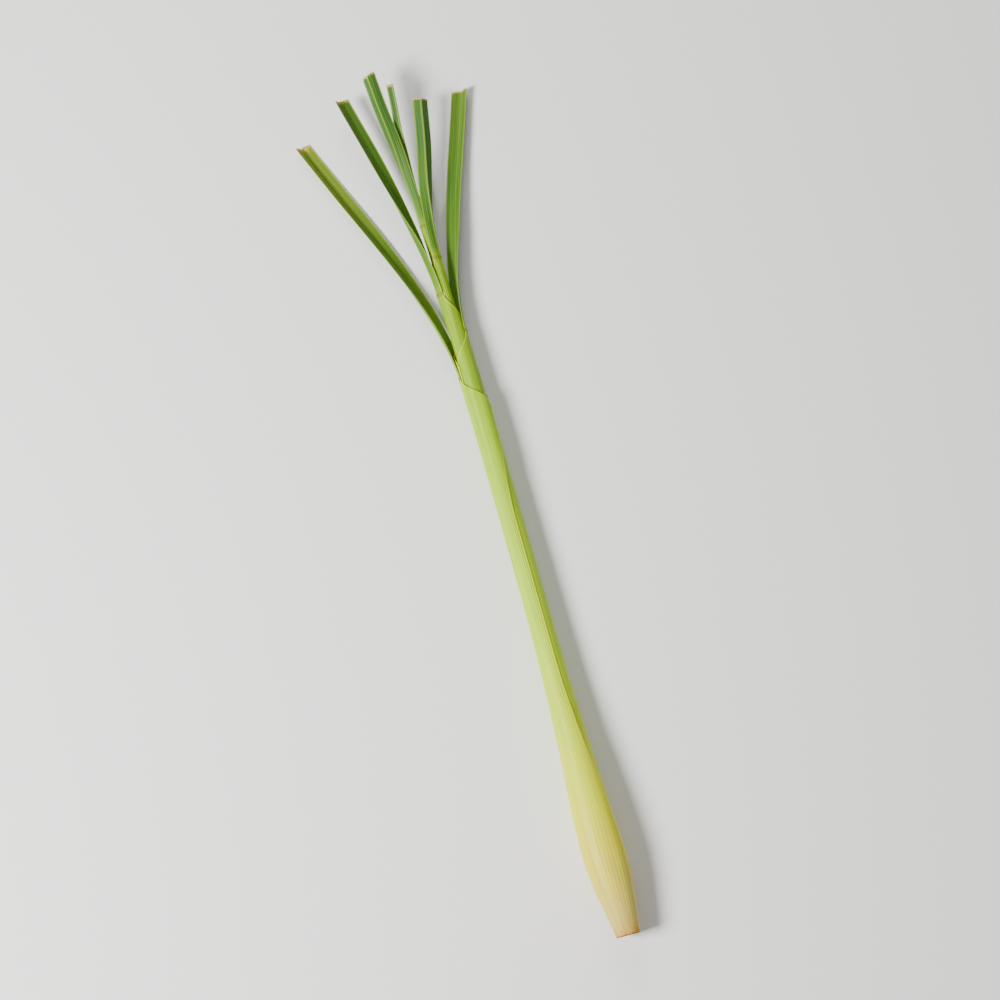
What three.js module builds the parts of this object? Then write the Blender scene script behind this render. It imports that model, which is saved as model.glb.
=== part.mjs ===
// A cut lemongrass stalk lying on a surface: a short solid stem in the foot, wrapped by six leaves. Each
// leaf is one piece, a sheath rolled round all the younger leaves that opens at its collar into a blade,
// cut off square at the tip. Millimetres, +Z up, +Y from the foot towards the tips. The origin is the
// middle of the flat spot under the bulb.
import * as THREE from "three";

// Driving dimensions of the whole stalk
const BULB_STATION = 39; // distance of the thickest place from the cut foot
const AXIS_HEIGHT = 9.17; // of the stalk's axis over the surface at the bulb
const AXIS_FALL = 0.008; // how much the axis sinks for each millimetre towards the tips
const FOOT_HOOK = 1.2; // sideways bend of the foot
const FOOT_HOOK_REACH = 26;
const BOW = 2.5; // sideways bow of the shaft
const BOW_LENGTH = 400;

// Distance from the foot, and the stalk's outer radius there
const GIRTH = [
  [0, 5.2],
  [12, 7.0],
  [24, 8.7],
  [36, 9.5],
  [54, 9.0],
  [84, 7.3],
  [118, 5.9],
  [150, 5.35],
  [260, 5.2],
  [400, 5.0],
];

// Each sheath takes up this share of the outer radius, and its wall this share of that
const LAYER_SHARE = 0.154;
const WALL_SHARE = 0.68;
const MARGIN_GAP = 0.5; // between the two edges of a rolled sheath
const LEDGE_GAP = 0.3; // between a leaf's lower edge and the ledge that it grows on
const MOUTH_LENGTH = 10; // over which a sheath's edges run out to the blade's foot
const COLLAR_WIDTH_SHARE = 0.97; // of the blade's full width, at its foot

// Each blade. A share is a part of its length, counted from the collar, and a pair of shares is where a
// change starts and where it is complete.
const BLADE_WALL = 0.65;
const LEAVING_SHARE = 0.2; // how far the blade still heads along its sheath
const ARRIVING_SHARE = 0.4; // how long the blade heads straight for its tip
const FLATTENING = 0.85; // how much of the sheath's roll a blade loses
const UNROLLING = [0, 0.5];
const WIDENING = [0, 0.45];
const THINNING = [0, 0.3];
const FOLDING = [0.05, 0.45];
const TURNING = [0.1, 0.8];

// Faceting, alike in every layer so that the gaps between layers stay even
const SIDES = 14;
const STATIONS = [0, 4, 9, 14, 20, 27, 34, 45, 60, 80, 100, 122, 150, 190, 230, 262, 290, 315];
const STATION_TO_MOUTH = 2; // least distance from a station to the mouth
const MOUTH_STEPS = 7;
const BLADE_STEPS = 8;
const AXIS_STEP = 0.5; // half the distance between two points that give the axis its direction
const ARC_STEP = 0.01; // the same for a section's outline

// The leaves, outermost first. Turn counts sides round the stalk from +X through +Z to the leaf's midrib.
// The tip is given by its station, its offset to the side of the axis and its height over the surface.
// Facing is the angle of the blade's back at the tip, fold the angle of each half about the midrib, and
// slant the slope of the cut across it.
const LEAVES = [
  { attach: 0, collar: 258, turn: 8,
    tip: 384, side: -44, height: 0, facing: 240, width: 9.0, fold: 28, slant: 0.15 },
  { attach: 0, collar: 279, turn: 13,
    tip: 391, side: 35, height: 0, facing: 299, width: 9.4, fold: 27, slant: -0.2 },
  { attach: 0, collar: 298, turn: 7,
    tip: 398, side: -21, height: 9, facing: 236, width: 8.7, fold: 25, slant: 0.1 },
  { attach: 9, collar: 315, turn: 1,
    tip: 388, side: 15, height: 15, facing: 76, width: 8.3, fold: 26, slant: -0.1 },
  { attach: 20, collar: 331, turn: 6,
    tip: 403, side: -6, height: 21, facing: 112, width: 7.8, fold: 24, slant: 0.2 },
  { attach: 34, collar: 345, turn: 1,
    tip: 397, side: 4, height: 18, facing: 52, width: 5.5, fold: 30, slant: 0.1 },
];

const SHEATH_PALE = new THREE.Color(0.62, 0.68, 0.3);
const BLADE_GREEN = new THREE.Color(0.2, 0.42, 0.12);
const STEM_CREAM = new THREE.Color(0.8, 0.72, 0.52);
const LEAF_ROUGHNESS = 0.55;
const STEM_ROUGHNESS = 0.7;

const vector = (x, y, z) => new THREE.Vector3(x, y, z);
const clamp01 = (t) => Math.min(1, Math.max(0, t));
const smooth = (t) => clamp01(t) ** 2 * (3 - 2 * clamp01(t));
const change = (share, [start, complete]) => smooth((share - start) / (complete - start));
const { degToRad, lerp } = THREE.MathUtils;

// The radius at a station, on a smooth curve through the girth's points.
function outerRadius(station) {
  const s = THREE.MathUtils.clamp(station, GIRTH[0][0], GIRTH.at(-1)[0]);
  const i = Math.max(0, Math.min(GIRTH.length - 2, GIRTH.findIndex(([at]) => at > s) - 1));
  const slope = (j) => {
    const [before, after] = [GIRTH[Math.max(0, j - 1)], GIRTH[Math.min(GIRTH.length - 1, j + 1)]];
    return (after[1] - before[1]) / (after[0] - before[0]);
  };
  const [[s0, r0], [s1, r1]] = [GIRTH[i], GIRTH[i + 1]];
  const [span, t] = [s1 - s0, (s - s0) / (s1 - s0)];
  const rise = t * t * (3 - 2 * t);
  const ease = (t ** 3 - 2 * t * t + t) * slope(i) + (t ** 3 - t * t) * slope(i + 1);
  return r0 + (r1 - r0) * rise + span * ease;
}

const layerRadius = (layer, station) => outerRadius(station) * (1 - layer * LAYER_SHARE);
const sheathWall = (station) => outerRadius(station) * LAYER_SHARE * WALL_SHARE;

// The stalk's axis: a foot hooked to one side and a slightly bowed shaft that sinks towards the tips.
function axisPoint(station) {
  const hook = (s) => FOOT_HOOK * Math.exp(-((s / FOOT_HOOK_REACH) ** 2));
  const bow = (s) => BOW * Math.sin((Math.PI * s) / BOW_LENGTH);
  const side = (s) => hook(s) + bow(s);
  return vector(
    side(station) - side(BULB_STATION),
    station - BULB_STATION,
    AXIS_HEIGHT - AXIS_FALL * (station - BULB_STATION),
  );
}

function axisTangent(station) {
  return axisPoint(station + AXIS_STEP).sub(axisPoint(station - AXIS_STEP)).normalize();
}

// The direction across the axis at an angle from +X towards +Z.
function radial(angle, tangent) {
  const out = vector(Math.cos(angle), 0, Math.sin(angle));
  return out.addScaledVector(tangent, -out.dot(tangent)).normalize();
}

// A cross-section's frame: the midrib's place, its back's direction and the direction across the leaf.
function frameAt(origin, tangent, back) {
  return { origin, back, across: tangent.clone().cross(back).normalize() };
}

// A leaf's section: points from edge to edge along its back, and again along its inner face a wall's
// thickness in. Arc gives the distance of each point from the midrib, curl the roll's curvature and fold
// the angle of each half.
function section({ origin, back, across }, arcs, curl, fold, wall) {
  const place = (arc) => {
    const roll = Math.abs(arc) * curl;
    const inwards = curl ? (Math.cos(roll) - 1) / curl : 0;
    const sideways = curl ? Math.sin(roll) / curl : Math.abs(arc);
    const folded = [
      sideways * Math.cos(fold) + inwards * Math.sin(fold),
      inwards * Math.cos(fold) - sideways * Math.sin(fold),
    ];
    return new THREE.Vector2(Math.sign(arc) * folded[0], folded[1]);
  };
  const outer = arcs.map(place);
  const inner = arcs.map((arc, i) => {
    const along = place(arc + ARC_STEP).sub(place(arc - ARC_STEP)).normalize();
    return outer[i].clone().add(new THREE.Vector2(along.y, -along.x).multiplyScalar(wall));
  });
  const inSpace = (p) => origin.clone().addScaledVector(across, p.x).addScaledVector(back, p.y);
  return [...outer.map(inSpace), ...inner.reverse().map(inSpace)];
}

// The distances from the midrib of a section's points, where the edges are at plus and minus half an arc.
// On a full sheath all but the edges keep to the layers' common angles.
function arcsOf(halfArc, radius) {
  const common = (2 * Math.PI) / SIDES;
  const full = halfArc > Math.PI - common;
  return Array.from({ length: SIDES + 1 }, (_, i) => {
    const count = i - SIDES / 2;
    if (!full) return ((2 * count * halfArc) / SIDES) * radius;
    return Math.sign(count) * Math.min(Math.abs(count) * common, halfArc) * radius;
  });
}

// The distance from the midrib to the edge at the collar, measured round the roll.
const collarHalf = (leaf) => (COLLAR_WIDTH_SHARE * leaf.width) / 2;

// The rolled part of a leaf, up to the collar, as a list of sections.
function sheathSections(leaf, layer) {
  const azimuth = (leaf.turn * 2 * Math.PI) / SIDES;
  const mouth = leaf.collar - MOUTH_LENGTH;
  const foot = leaf.attach ? leaf.attach + LEDGE_GAP : 0;
  const plain = STATIONS.filter((s) => s > foot && s < mouth - STATION_TO_MOUTH);
  const opening = Array.from({ length: MOUTH_STEPS + 1 }, (_, i) => mouth + (i / MOUTH_STEPS) * MOUTH_LENGTH);
  return [foot, ...plain, ...opening].map((station) => {
    const radius = layerRadius(layer, station);
    const full = Math.PI - MARGIN_GAP / 2 / radius;
    const open = clamp01((station - mouth) / MOUTH_LENGTH);
    const tangent = axisTangent(station);
    const back = radial(azimuth, tangent);
    const midrib = axisPoint(station).addScaledVector(back, radius);
    const halfArc = lerp(full, collarHalf(leaf) / radius, open);
    const frame = frameAt(midrib, tangent, back);
    return section(frame, arcsOf(halfArc, radius), 1 / radius, 0, sheathWall(station));
  });
}

// The flattening blade of a leaf, from just past the collar to its cut tip.
function bladeSections(leaf, layer) {
  const radius = layerRadius(layer, leaf.collar);
  const startTangent = axisTangent(leaf.collar);
  const startBack = radial((leaf.turn * 2 * Math.PI) / SIDES, startTangent);
  const start = axisPoint(leaf.collar).addScaledVector(startBack, radius);
  const end = axisPoint(leaf.tip).add(vector(leaf.side, 0, 0)).setZ(leaf.height);
  const length = start.distanceTo(end);
  const leaving = start.clone().addScaledVector(startTangent, LEAVING_SHARE * length);
  const heading = end.clone().sub(leaving);
  if (leaf.height === 0) heading.setZ(0);
  const arriving = end.clone().addScaledVector(heading.normalize(), -ARRIVING_SHARE * length);
  const midrib = new THREE.CubicBezierCurve3(start, leaving, arriving, end);
  const endBack = radial(degToRad(leaf.facing), heading);
  return Array.from({ length: BLADE_STEPS }, (_, i) => {
    const u = (i + 1) / BLADE_STEPS;
    const tangent = midrib.getTangent(u);
    const turned = startBack.clone().lerp(endBack, change(u, TURNING));
    const back = turned.addScaledVector(tangent, -turned.dot(tangent)).normalize();
    const half = lerp(collarHalf(leaf), leaf.width / 2, change(u, WIDENING));
    const curl = (1 - FLATTENING * change(u, UNROLLING)) / radius;
    const fold = degToRad(leaf.fold) * change(u, FOLDING);
    const arcs = Array.from({ length: SIDES + 1 }, (_, j) => ((2 * j) / SIDES - 1) * half);
    const wall = lerp(sheathWall(leaf.collar), BLADE_WALL, change(u, THINNING));
    const points = section(frameAt(midrib.getPoint(u), tangent, back), arcs, curl, fold, wall);
    if (i === BLADE_STEPS - 1) {
      const across = tangent.clone().cross(back);
      points.forEach((p) => p.addScaledVector(tangent, leaf.slant * p.clone().sub(end).dot(across)));
    }
    return points;
  });
}

// A closed skin over a row of sections with as many points each, whose ends are closed by the given
// triangles. Each four-sided face is split from the corner that fromFirst says.
function skin(sections, capTriangles, fromFirst = () => true) {
  const count = sections[0].length;
  const positions = sections.flat().flatMap((p) => [p.x, p.y, Math.max(0, p.z)]);
  const index = [];
  for (let row = 0; row < sections.length - 1; row++) {
    for (let i = 0; i < count; i++) {
      const [a, b] = [row * count + i, row * count + ((i + 1) % count)];
      if (fromFirst(i)) index.push(a, b, b + count, a, b + count, a + count);
      else index.push(a, b, a + count, b, b + count, a + count);
    }
  }
  const last = (sections.length - 1) * count;
  for (const [a, b, c] of capTriangles) {
    index.push(a, c, b, last + a, last + b, last + c);
  }
  const geometry = new THREE.BufferGeometry();
  geometry.setAttribute("position", new THREE.Float32BufferAttribute(positions, 3));
  geometry.setIndex(index);
  geometry.computeVertexNormals();
  return geometry;
}

// The triangles that close the end of a leaf, between its back and its inner face.
function leafCap() {
  const last = 2 * SIDES + 1;
  return Array.from({ length: SIDES }, (_, i) => [
    [i, i + 1, last - i - 1],
    [i, last - i - 1, last - i],
  ]).flat();
}

// Faces are split from the corner nearer to the midrib, alike on the back and on the inner face, so that a
// sheath's wall stays round where its edges run out.
function leafGeometry(leaf, layer) {
  const fromMidrib = (i) => Math.abs((i <= SIDES ? i : 2 * SIDES + 1 - i) - SIDES / 2);
  const nearFirst = (i) => fromMidrib(i) <= fromMidrib((i + 1) % (2 * SIDES + 2));
  return skin([...sheathSections(leaf, layer), ...bladeSections(leaf, layer)], leafCap(), nearFirst);
}

// The short stem in the foot: it fills what the leaves leave free, with a ledge under each leaf that
// starts higher up.
function stemGeometry() {
  const ring = (station, layer) => {
    const tangent = axisTangent(station);
    const radius = layerRadius(layer, station);
    return Array.from({ length: SIDES }, (_, i) => {
      const angle = (-i * 2 * Math.PI) / SIDES;
      return axisPoint(station).addScaledVector(radial(angle, tangent), radius);
    });
  };
  const sections = [];
  const ledges = LEAVES.map(({ attach }, layer) => [attach, layer]).filter(([attach]) => attach > 0);
  let from = 0;
  for (const [attach, layer] of ledges) {
    STATIONS.filter((s) => s >= from && s < attach).forEach((s) => sections.push(ring(s, layer)));
    sections.push(ring(attach, layer));
    from = attach;
  }
  const cap = Array.from({ length: SIDES - 2 }, (_, i) => [0, i + 1, i + 2]);
  return skin(sections, cap);
}

function mesh(name, geometry, color, roughness) {
  const made = new THREE.Mesh(geometry, new THREE.MeshStandardMaterial({ color, roughness, metalness: 0 }));
  made.name = name;
  return made;
}

const stalk = new THREE.Group();
stalk.add(mesh("stem_base", stemGeometry(), STEM_CREAM, STEM_ROUGHNESS));
LEAVES.forEach((leaf, layer) => {
  const color = SHEATH_PALE.clone().lerp(BLADE_GREEN, layer / LEAVES.length);
  stalk.add(mesh(`leaf_${layer + 1}`, leafGeometry(leaf, layer), color, LEAF_ROUGHNESS));
});

export default stalk;
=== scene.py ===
# %% [markdown]
# A cut lemongrass stalk, lying on a table. The plant is a grass: a short solid stem hides in the
# swollen foot, and six leaves are wrapped round it, one inside the other. Each leaf is one piece. Its
# lower part, the sheath, is rolled into a tube, and at its collar it opens into a blade. This lesson
# makes the leaves from one rule with Geometry Nodes. Other ways would be to model one leaf by hand and
# bend copies of it, or to sculpt the whole stalk. The rule is better here because all the leaves share
# the same roll, and their edges and veins then stay true to each other.

# %% Load the frame
import math
from collections import namedtuple

import bpy
from mathutils import Color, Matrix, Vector, noise


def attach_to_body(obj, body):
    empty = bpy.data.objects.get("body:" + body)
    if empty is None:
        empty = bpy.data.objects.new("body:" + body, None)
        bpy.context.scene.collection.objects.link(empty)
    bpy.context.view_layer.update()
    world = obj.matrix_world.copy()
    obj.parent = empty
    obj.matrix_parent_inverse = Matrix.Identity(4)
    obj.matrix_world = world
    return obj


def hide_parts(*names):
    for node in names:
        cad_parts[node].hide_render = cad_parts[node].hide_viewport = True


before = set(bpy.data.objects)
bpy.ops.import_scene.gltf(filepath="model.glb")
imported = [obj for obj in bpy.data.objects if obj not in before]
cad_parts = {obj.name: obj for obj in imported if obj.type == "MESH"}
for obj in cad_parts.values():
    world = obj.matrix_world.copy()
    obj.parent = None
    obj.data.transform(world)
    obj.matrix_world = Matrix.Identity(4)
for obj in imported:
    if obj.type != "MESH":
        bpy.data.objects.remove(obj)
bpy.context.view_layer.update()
print("frame nodes:", sorted(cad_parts))

# %% [markdown]
# All lengths below are in millimetres, because that is how a stalk is measured. Blender works in
# metres, so each length is multiplied by MM just before it goes into a mesh, a lamp or a camera.

# %% Units and small helpers
MM = 0.001


def smooth(value):
    """Eases from 0 to 1."""
    t = min(1.0, max(0.0, value))
    return t * t * (3 - 2 * t)


def change(value, span):
    """Eases from 0 to 1 as the value goes from the span's first number to its second."""
    start, complete = span
    return smooth((value - start) / (complete - start))


def bell(value, width):
    """1 at nought, and less the further the value is from it."""
    return math.exp(-((value / width) ** 2))


def lerp(a, b, t):
    return a + (b - a) * t


def srgb(red, green, blue):
    """A colour as painters pick it, 0 to 255, turned into the linear values that Blender mixes."""
    linear = Color((red / 255, green / 255, blue / 255)).from_srgb_to_scene_linear()
    return (*linear, 1.0)


def new_object(name, data):
    """Puts a new object into the scene."""
    made = bpy.data.objects.new(name, data)
    bpy.context.scene.collection.objects.link(made)
    return made


def aim(made, place, direction):
    """Moves a lamp or a camera to its place and turns it to look in a direction."""
    made.location = place
    made.rotation_mode = "QUATERNION"
    made.rotation_quaternion = direction.to_track_quat("-Z", "Y")


# %% [markdown]
# The stalk follows three rules: how thick it is at each distance from the cut foot (its girth), where
# its axis runs, and what share of the radius each leaf takes. A distance from the foot is called a
# station. A cubic curve through a few measured radii gives a smooth bulb; a straight line between them
# would show as rings.

# %% The stalk's rules
BULB_STATION = 39  # the thickest place
AXIS_HEIGHT = 9.17  # over the table, at the bulb
AXIS_FALL = 0.008  # how much the axis sinks in each millimetre towards the tips
AXIS_STEP = 0.5  # half the distance between two points that give the axis its direction
FOOT_HOOK = 1.2  # sideways bend of the foot
FOOT_HOOK_REACH = 26
BOW = 2.5  # sideways bow of the shaft
BOW_LENGTH = 400
GIRTH = [
    (0, 5.2),
    (12, 7.0),
    (24, 8.7),
    (36, 9.5),
    (54, 9.0),
    (84, 7.3),
    (118, 5.9),
    (150, 5.35),
    (260, 5.2),
    (400, 5.0),
]
LAYER_SHARE = 0.154  # of the stalk's radius, for each leaf
WALL_SHARE = 0.68  # of a leaf's layer, for its wall
BLADE_WALL = 0.65
COLLAR_WIDTH_SHARE = 0.97  # of the blade's full width, at its foot
FLATTENING = 0.85  # how much of its roll a blade loses
TURN_STEPS = 14  # places round the stalk where a midrib can run


def outer_radius(station):
    at = min(max(station, GIRTH[0][0]), GIRTH[-1][0])
    i = max(j for j in range(len(GIRTH) - 1) if GIRTH[j][0] <= at)

    def slope(j):
        before, after = GIRTH[max(0, j - 1)], GIRTH[min(len(GIRTH) - 1, j + 1)]
        return (after[1] - before[1]) / (after[0] - before[0])

    (s0, r0), (s1, r1) = GIRTH[i], GIRTH[i + 1]
    span = s1 - s0
    t = (at - s0) / span
    ease = (t**3 - 2 * t * t + t) * slope(i) + (t**3 - t * t) * slope(i + 1)
    return r0 + (r1 - r0) * t * t * (3 - 2 * t) + span * ease


def layer_radius(layer, station):
    return outer_radius(station) * (1 - layer * LAYER_SHARE)


def axis_side(station):
    hook = FOOT_HOOK * bell(station, FOOT_HOOK_REACH)
    return hook + BOW * math.sin(math.pi * station / BOW_LENGTH)


def axis_point(station):
    along = station - BULB_STATION
    return Vector((axis_side(station) - axis_side(BULB_STATION), along, AXIS_HEIGHT - AXIS_FALL * along))


def axis_tangent(station):
    return (axis_point(station + AXIS_STEP) - axis_point(station - AXIS_STEP)).normalized()


def radial(angle, tangent):
    """The direction across the axis at an angle from +X towards +Z."""
    out = Vector((math.cos(angle), 0, math.sin(angle)))
    return (out - tangent * out.dot(tangent)).normalized()


print("bulb radius", outer_radius(BULB_STATION), "shaft radius", round(outer_radius(200), 2))

# %% [markdown]
# Each leaf has a row in a table. Attach is the station where it grows on the stem, turn says on which
# side of the stalk its midrib runs, collar where its sheath ends, and tip, side and height where the
# end of its blade lies. Facing is the way the blade's back looks at the tip, fold how far its halves
# stand up from the midrib, and slant how obliquely the tip is cut. The last columns are only for looks:
# how the sheath's edges wander round the stalk, how the cut tip is notched and frayed, and how far it
# has dried back.

# %% The leaves
Leaf = namedtuple(
    "Leaf",
    "attach collar turn tip side height facing width fold slant wander notch notch_at ragged dry_reach",
)
LEAVES = [
    Leaf(0, 258, 8, 384, -44, 0, 240, 9.0, 28, 0.15, -60, 1.4, 0.05, 0.5, 2.4),
    Leaf(0, 279, 13, 391, 35, 0, 299, 9.4, 27, -0.2, -22, 0.4, -0.4, 0.5, 0.9),
    Leaf(0, 298, 7, 398, -21, 9, 236, 8.7, 25, 0.1, 18, 0.9, 0.5, 0.6, 1.3),
    Leaf(9, 315, 1, 388, 15, 15, 76, 8.3, 26, -0.1, -12, 0.3, 0.2, 0.4, 0.7),
    Leaf(20, 331, 6, 403, -6, 21, 112, 7.8, 24, 0.2, 10, 0.7, -0.1, 0.5, 0.9),
    Leaf(34, 345, 1, 397, 4, 18, 52, 5.5, 30, 0.1, 0, 0.4, 0.0, 0.4, 1.1),
]
print("leaves:", len(LEAVES), "blade widths", [leaf.width for leaf in LEAVES])

# %% [markdown]
# A leaf is made from its midrib. The midrib is a row of points, and every point carries what the leaf
# is like there: which way is across, which way its back looks, how far each edge is, how tightly it
# rolls and how thick it is. Those values are stored as attributes on the points, so that the node tree
# can read them by name. The first and the last point are doubled: the copy has no thickness, which
# closes the cut end with a flat face.

# %% Where the points of a midrib are
MOUTH_LENGTH = 17  # over which a sheath's edges run out to the blade's foot
BULB_STATIONS = (0, 0.5, 1, 2, 3.5, 5, 7, 9, 11.5, 14, 17, 20, 23.5, 27, 31, 35, 40, 45, 51, 57, 64, 72, 80)
HIDDEN_STATIONS = (0, 0.5, 1, 2, 3.5, 5, 9, 14, 20, 27, 34, 45, 60, 80, 100, 122, 150, 190, 230)
SHAFT_STEP = 5.3
SHOWN_STEP = 2.5
MOUTH_STEP = 0.36
LEAST_STEP = 0.5
SHOWN_BEFORE = 26  # an inner leaf may show from this far below the collar of the leaf outside it
HIDDEN_BEFORE = 4
LEDGE_GAP = 0.3  # between a leaf's lower edge and the ledge that it grows on


def spread(start, end, step):
    """Stations about a step apart, from the start to just before the end."""
    count = int((end - start) / step)
    return [lerp(start, end, i / count) for i in range(count)]


def sheath_stations(leaf, layer):
    mouth = leaf.collar - MOUTH_LENGTH
    foot = leaf.attach + LEDGE_GAP if leaf.attach else 0
    if layer == 0:
        plain = [*BULB_STATIONS, *spread(BULB_STATIONS[-1], mouth, SHAFT_STEP)[1:]]
    else:
        shown = LEAVES[layer - 1].collar - SHOWN_BEFORE
        plain = [s for s in HIDDEN_STATIONS if s < shown - HIDDEN_BEFORE]
        plain += spread(shown, mouth, SHOWN_STEP)
    stations = [s for s in plain if foot < s < mouth - LEAST_STEP]
    return [foot, *stations, *spread(mouth, leaf.collar, MOUTH_STEP), leaf.collar]


print("points along the outermost sheath:", len(sheath_stations(LEAVES[0], 0)))

# %% Values along a sheath
# What a row holds where nothing else is said. Solid is 0 only in the rows that close a cut end.
PLAIN_ROW = dict(
    solid=1.0, fold=0.0, edge_lift=0.0, swell=0.0, keel=0.0, tip_share=0.0, foot_share=0.0, membrane=0.0
)
OVERLAP = 0.42  # of a sheath's two edges, in radians
EDGE_LIFT_SHARE = 0.055  # of the stalk's radius, for the upper edge
WANDERING = (10, 125)  # the edges creep aside between these stations
RETURNING = (-8, 52)  # and are back in place between these distances before the mouth
FOOT_WALL_SHARE = 0.97  # the wall's share of its layer at the cut foot
FOOT_FILL_REACH = 12
FOOT_CUT_REACH = 3.0  # how far the cut's roughness is felt
BULB_RIBS = 0.6  # height of the ribs on the bulb, where the shaft's is 1
RIBS_RISING = (40, 120)
COLLAR_SWELL = 0.22
COLLAR_SWELL_REACH = 1.1
KEEL = 0.42  # how far the midrib stands out
KEEL_RISING = (-25, 0)  # distances from the collar


def wall_at(station):
    """A sheath's thickness. At the cut foot the leaves are grown together, so each fills its whole layer."""
    share = lerp(FOOT_WALL_SHARE, WALL_SHARE, smooth(station / FOOT_FILL_REACH))
    return outer_radius(station) * LAYER_SHARE * share


def collar_half(leaf):
    return COLLAR_WIDTH_SHARE * leaf.width / 2


def margin_wander(leaf, station):
    """How far the rolled edges have crept round the stalk, in radians."""
    to_mouth = leaf.collar - MOUTH_LENGTH - station
    return math.radians(leaf.wander) * change(station, WANDERING) * change(to_mouth, RETURNING)


def sheath_row(leaf, layer, station):
    radius = layer_radius(layer, station)
    tangent = axis_tangent(station)
    back = radial(leaf.turn * math.tau / TURN_STEPS, tangent)
    from_collar = station - leaf.collar
    opening = change(from_collar, (-MOUTH_LENGTH, 0))
    creep = margin_wander(leaf, station)
    full = math.pi + OVERLAP / 2
    return dict(
        PLAIN_ROW,
        midrib=axis_point(station) + back * radius,
        forward=tangent,
        back=back,
        across=tangent.cross(back).normalized(),
        half_right=lerp((full + creep) * radius, collar_half(leaf), opening),
        half_left=lerp((full - creep) * radius, collar_half(leaf), opening),
        curl=1 / radius,
        rib_curl=1 / radius,
        wall=wall_at(station),
        edge_lift=EDGE_LIFT_SHARE * outer_radius(station),
        swell=COLLAR_SWELL * bell(from_collar, COLLAR_SWELL_REACH),
        keel=KEEL * change(from_collar, KEEL_RISING),
        foot_share=0.0 if leaf.attach else smooth(1 - station / FOOT_CUT_REACH),
        rib_share=lerp(BULB_RIBS, 1.0, change(station, RIBS_RISING)),
        station=station,
        from_collar=from_collar,
        to_tip=leaf.tip - station,
        dry_reach=leaf.dry_reach,
    )


# %% [markdown]
# The blade leaves the stalk along the sheath's own direction and swings out to where its tip lies, so a
# Bezier curve is its natural path. On the way its roll relaxes to a shallow channel, its edges reach
# their full width, and its back turns to face the way the table says.

# %% Values along a blade
LEAVING_SHARE = 0.2  # how far the blade still heads along its sheath
ARRIVING_SHARE = 0.4  # how long it heads straight for its tip
BLADE_ROWS = 46
CROWDING = 0.45  # how much closer together the points are near the collar
UNROLLING = (0, 0.5)  # each change happens between these shares of the blade's length
WIDENING = (0, 0.45)
THINNING = (0, 0.3)
FOLDING = (0.05, 0.45)
TURNING = (0.1, 0.8)
WAVE = 0.35  # how far the midrib swings aside
WAVE_COUNT = 1.3
WAVE_SHIFT = 0.37  # of a wave, from one leaf to the next
WAVE_SWELLING = (0.25, 0.55)
WAVE_DYING = (1, 0.7)
TIP_KEEL = 0.55  # what is left of the midrib's height at the tip
TIP_RIBS = 0.7  # and of the ribs' height
TIP_CUT_REACH = 14  # how far back from the tip its slanted, notched cut is felt


def bezier(points, t):
    a, b, c, d = points
    place = a * (1 - t) ** 3 + b * 3 * t * (1 - t) ** 2 + c * 3 * t * t * (1 - t) + d * t**3
    slope = (b - a) * (1 - t) ** 2 + (c - b) * 2 * t * (1 - t) + (d - c) * t * t
    return place, slope.normalized()


def blade_path(leaf, layer):
    tangent = axis_tangent(leaf.collar)
    back = radial(leaf.turn * math.tau / TURN_STEPS, tangent)
    start = axis_point(leaf.collar) + back * layer_radius(layer, leaf.collar)
    end = axis_point(leaf.tip) + Vector((leaf.side, 0, 0))
    end.z = leaf.height
    length = (end - start).length
    leaving = start + tangent * LEAVING_SHARE * length
    heading = end - leaving
    if leaf.height == 0:
        heading.z = 0
    heading.normalize()
    arriving = end - heading * ARRIVING_SHARE * length
    return (start, leaving, arriving, end), back, radial(math.radians(leaf.facing), heading), length


def blade_rows(leaf, layer):
    points, start_back, end_back, length = blade_path(leaf, layer)
    radius = layer_radius(layer, leaf.collar)
    rows = []
    for i in range(BLADE_ROWS):
        even = (i + 1) / BLADE_ROWS
        u = lerp(even, even * even, CROWDING)
        place, tangent = bezier(points, u)
        turned = start_back.lerp(end_back, change(u, TURNING))
        back = (turned - tangent * turned.dot(tangent)).normalized()
        across = tangent.cross(back).normalized()
        swing = WAVE * change(u, WAVE_SWELLING) * change(u, WAVE_DYING)
        wave = swing * math.sin(math.tau * (WAVE_COUNT * u + WAVE_SHIFT * layer))
        half = lerp(collar_half(leaf), leaf.width / 2, change(u, WIDENING))
        from_collar = u * length
        to_tip = (1 - u) * length
        rows.append(
            dict(
                PLAIN_ROW,
                midrib=place + across * wave,
                forward=tangent,
                back=back,
                across=across,
                half_right=half,
                half_left=half,
                curl=(1 - FLATTENING * change(u, UNROLLING)) / radius,
                rib_curl=1 / radius,
                fold=math.radians(leaf.fold) * change(u, FOLDING),
                wall=lerp(wall_at(leaf.collar), BLADE_WALL, change(u, THINNING)),
                swell=COLLAR_SWELL * bell(from_collar, COLLAR_SWELL_REACH),
                keel=KEEL * lerp(1.0, TIP_KEEL, u),
                tip_share=smooth(1 - to_tip / TIP_CUT_REACH),
                rib_share=lerp(1.0, TIP_RIBS, u),
                station=leaf.collar + from_collar,
                from_collar=from_collar,
                to_tip=to_tip,
                dry_reach=leaf.dry_reach,
            )
        )
    return rows


print("longest blade:", round(max(blade_path(leaf, i)[3] for i, leaf in enumerate(LEAVES))), "mm")

# %% [markdown]
# Inside the collar a grass leaf has a ligule, a short paper-thin skin that hugs the next sheath and
# keeps water out. It belongs to the leaf, so it goes into the same guide as a second, short row of
# points and gets the same roll.

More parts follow.
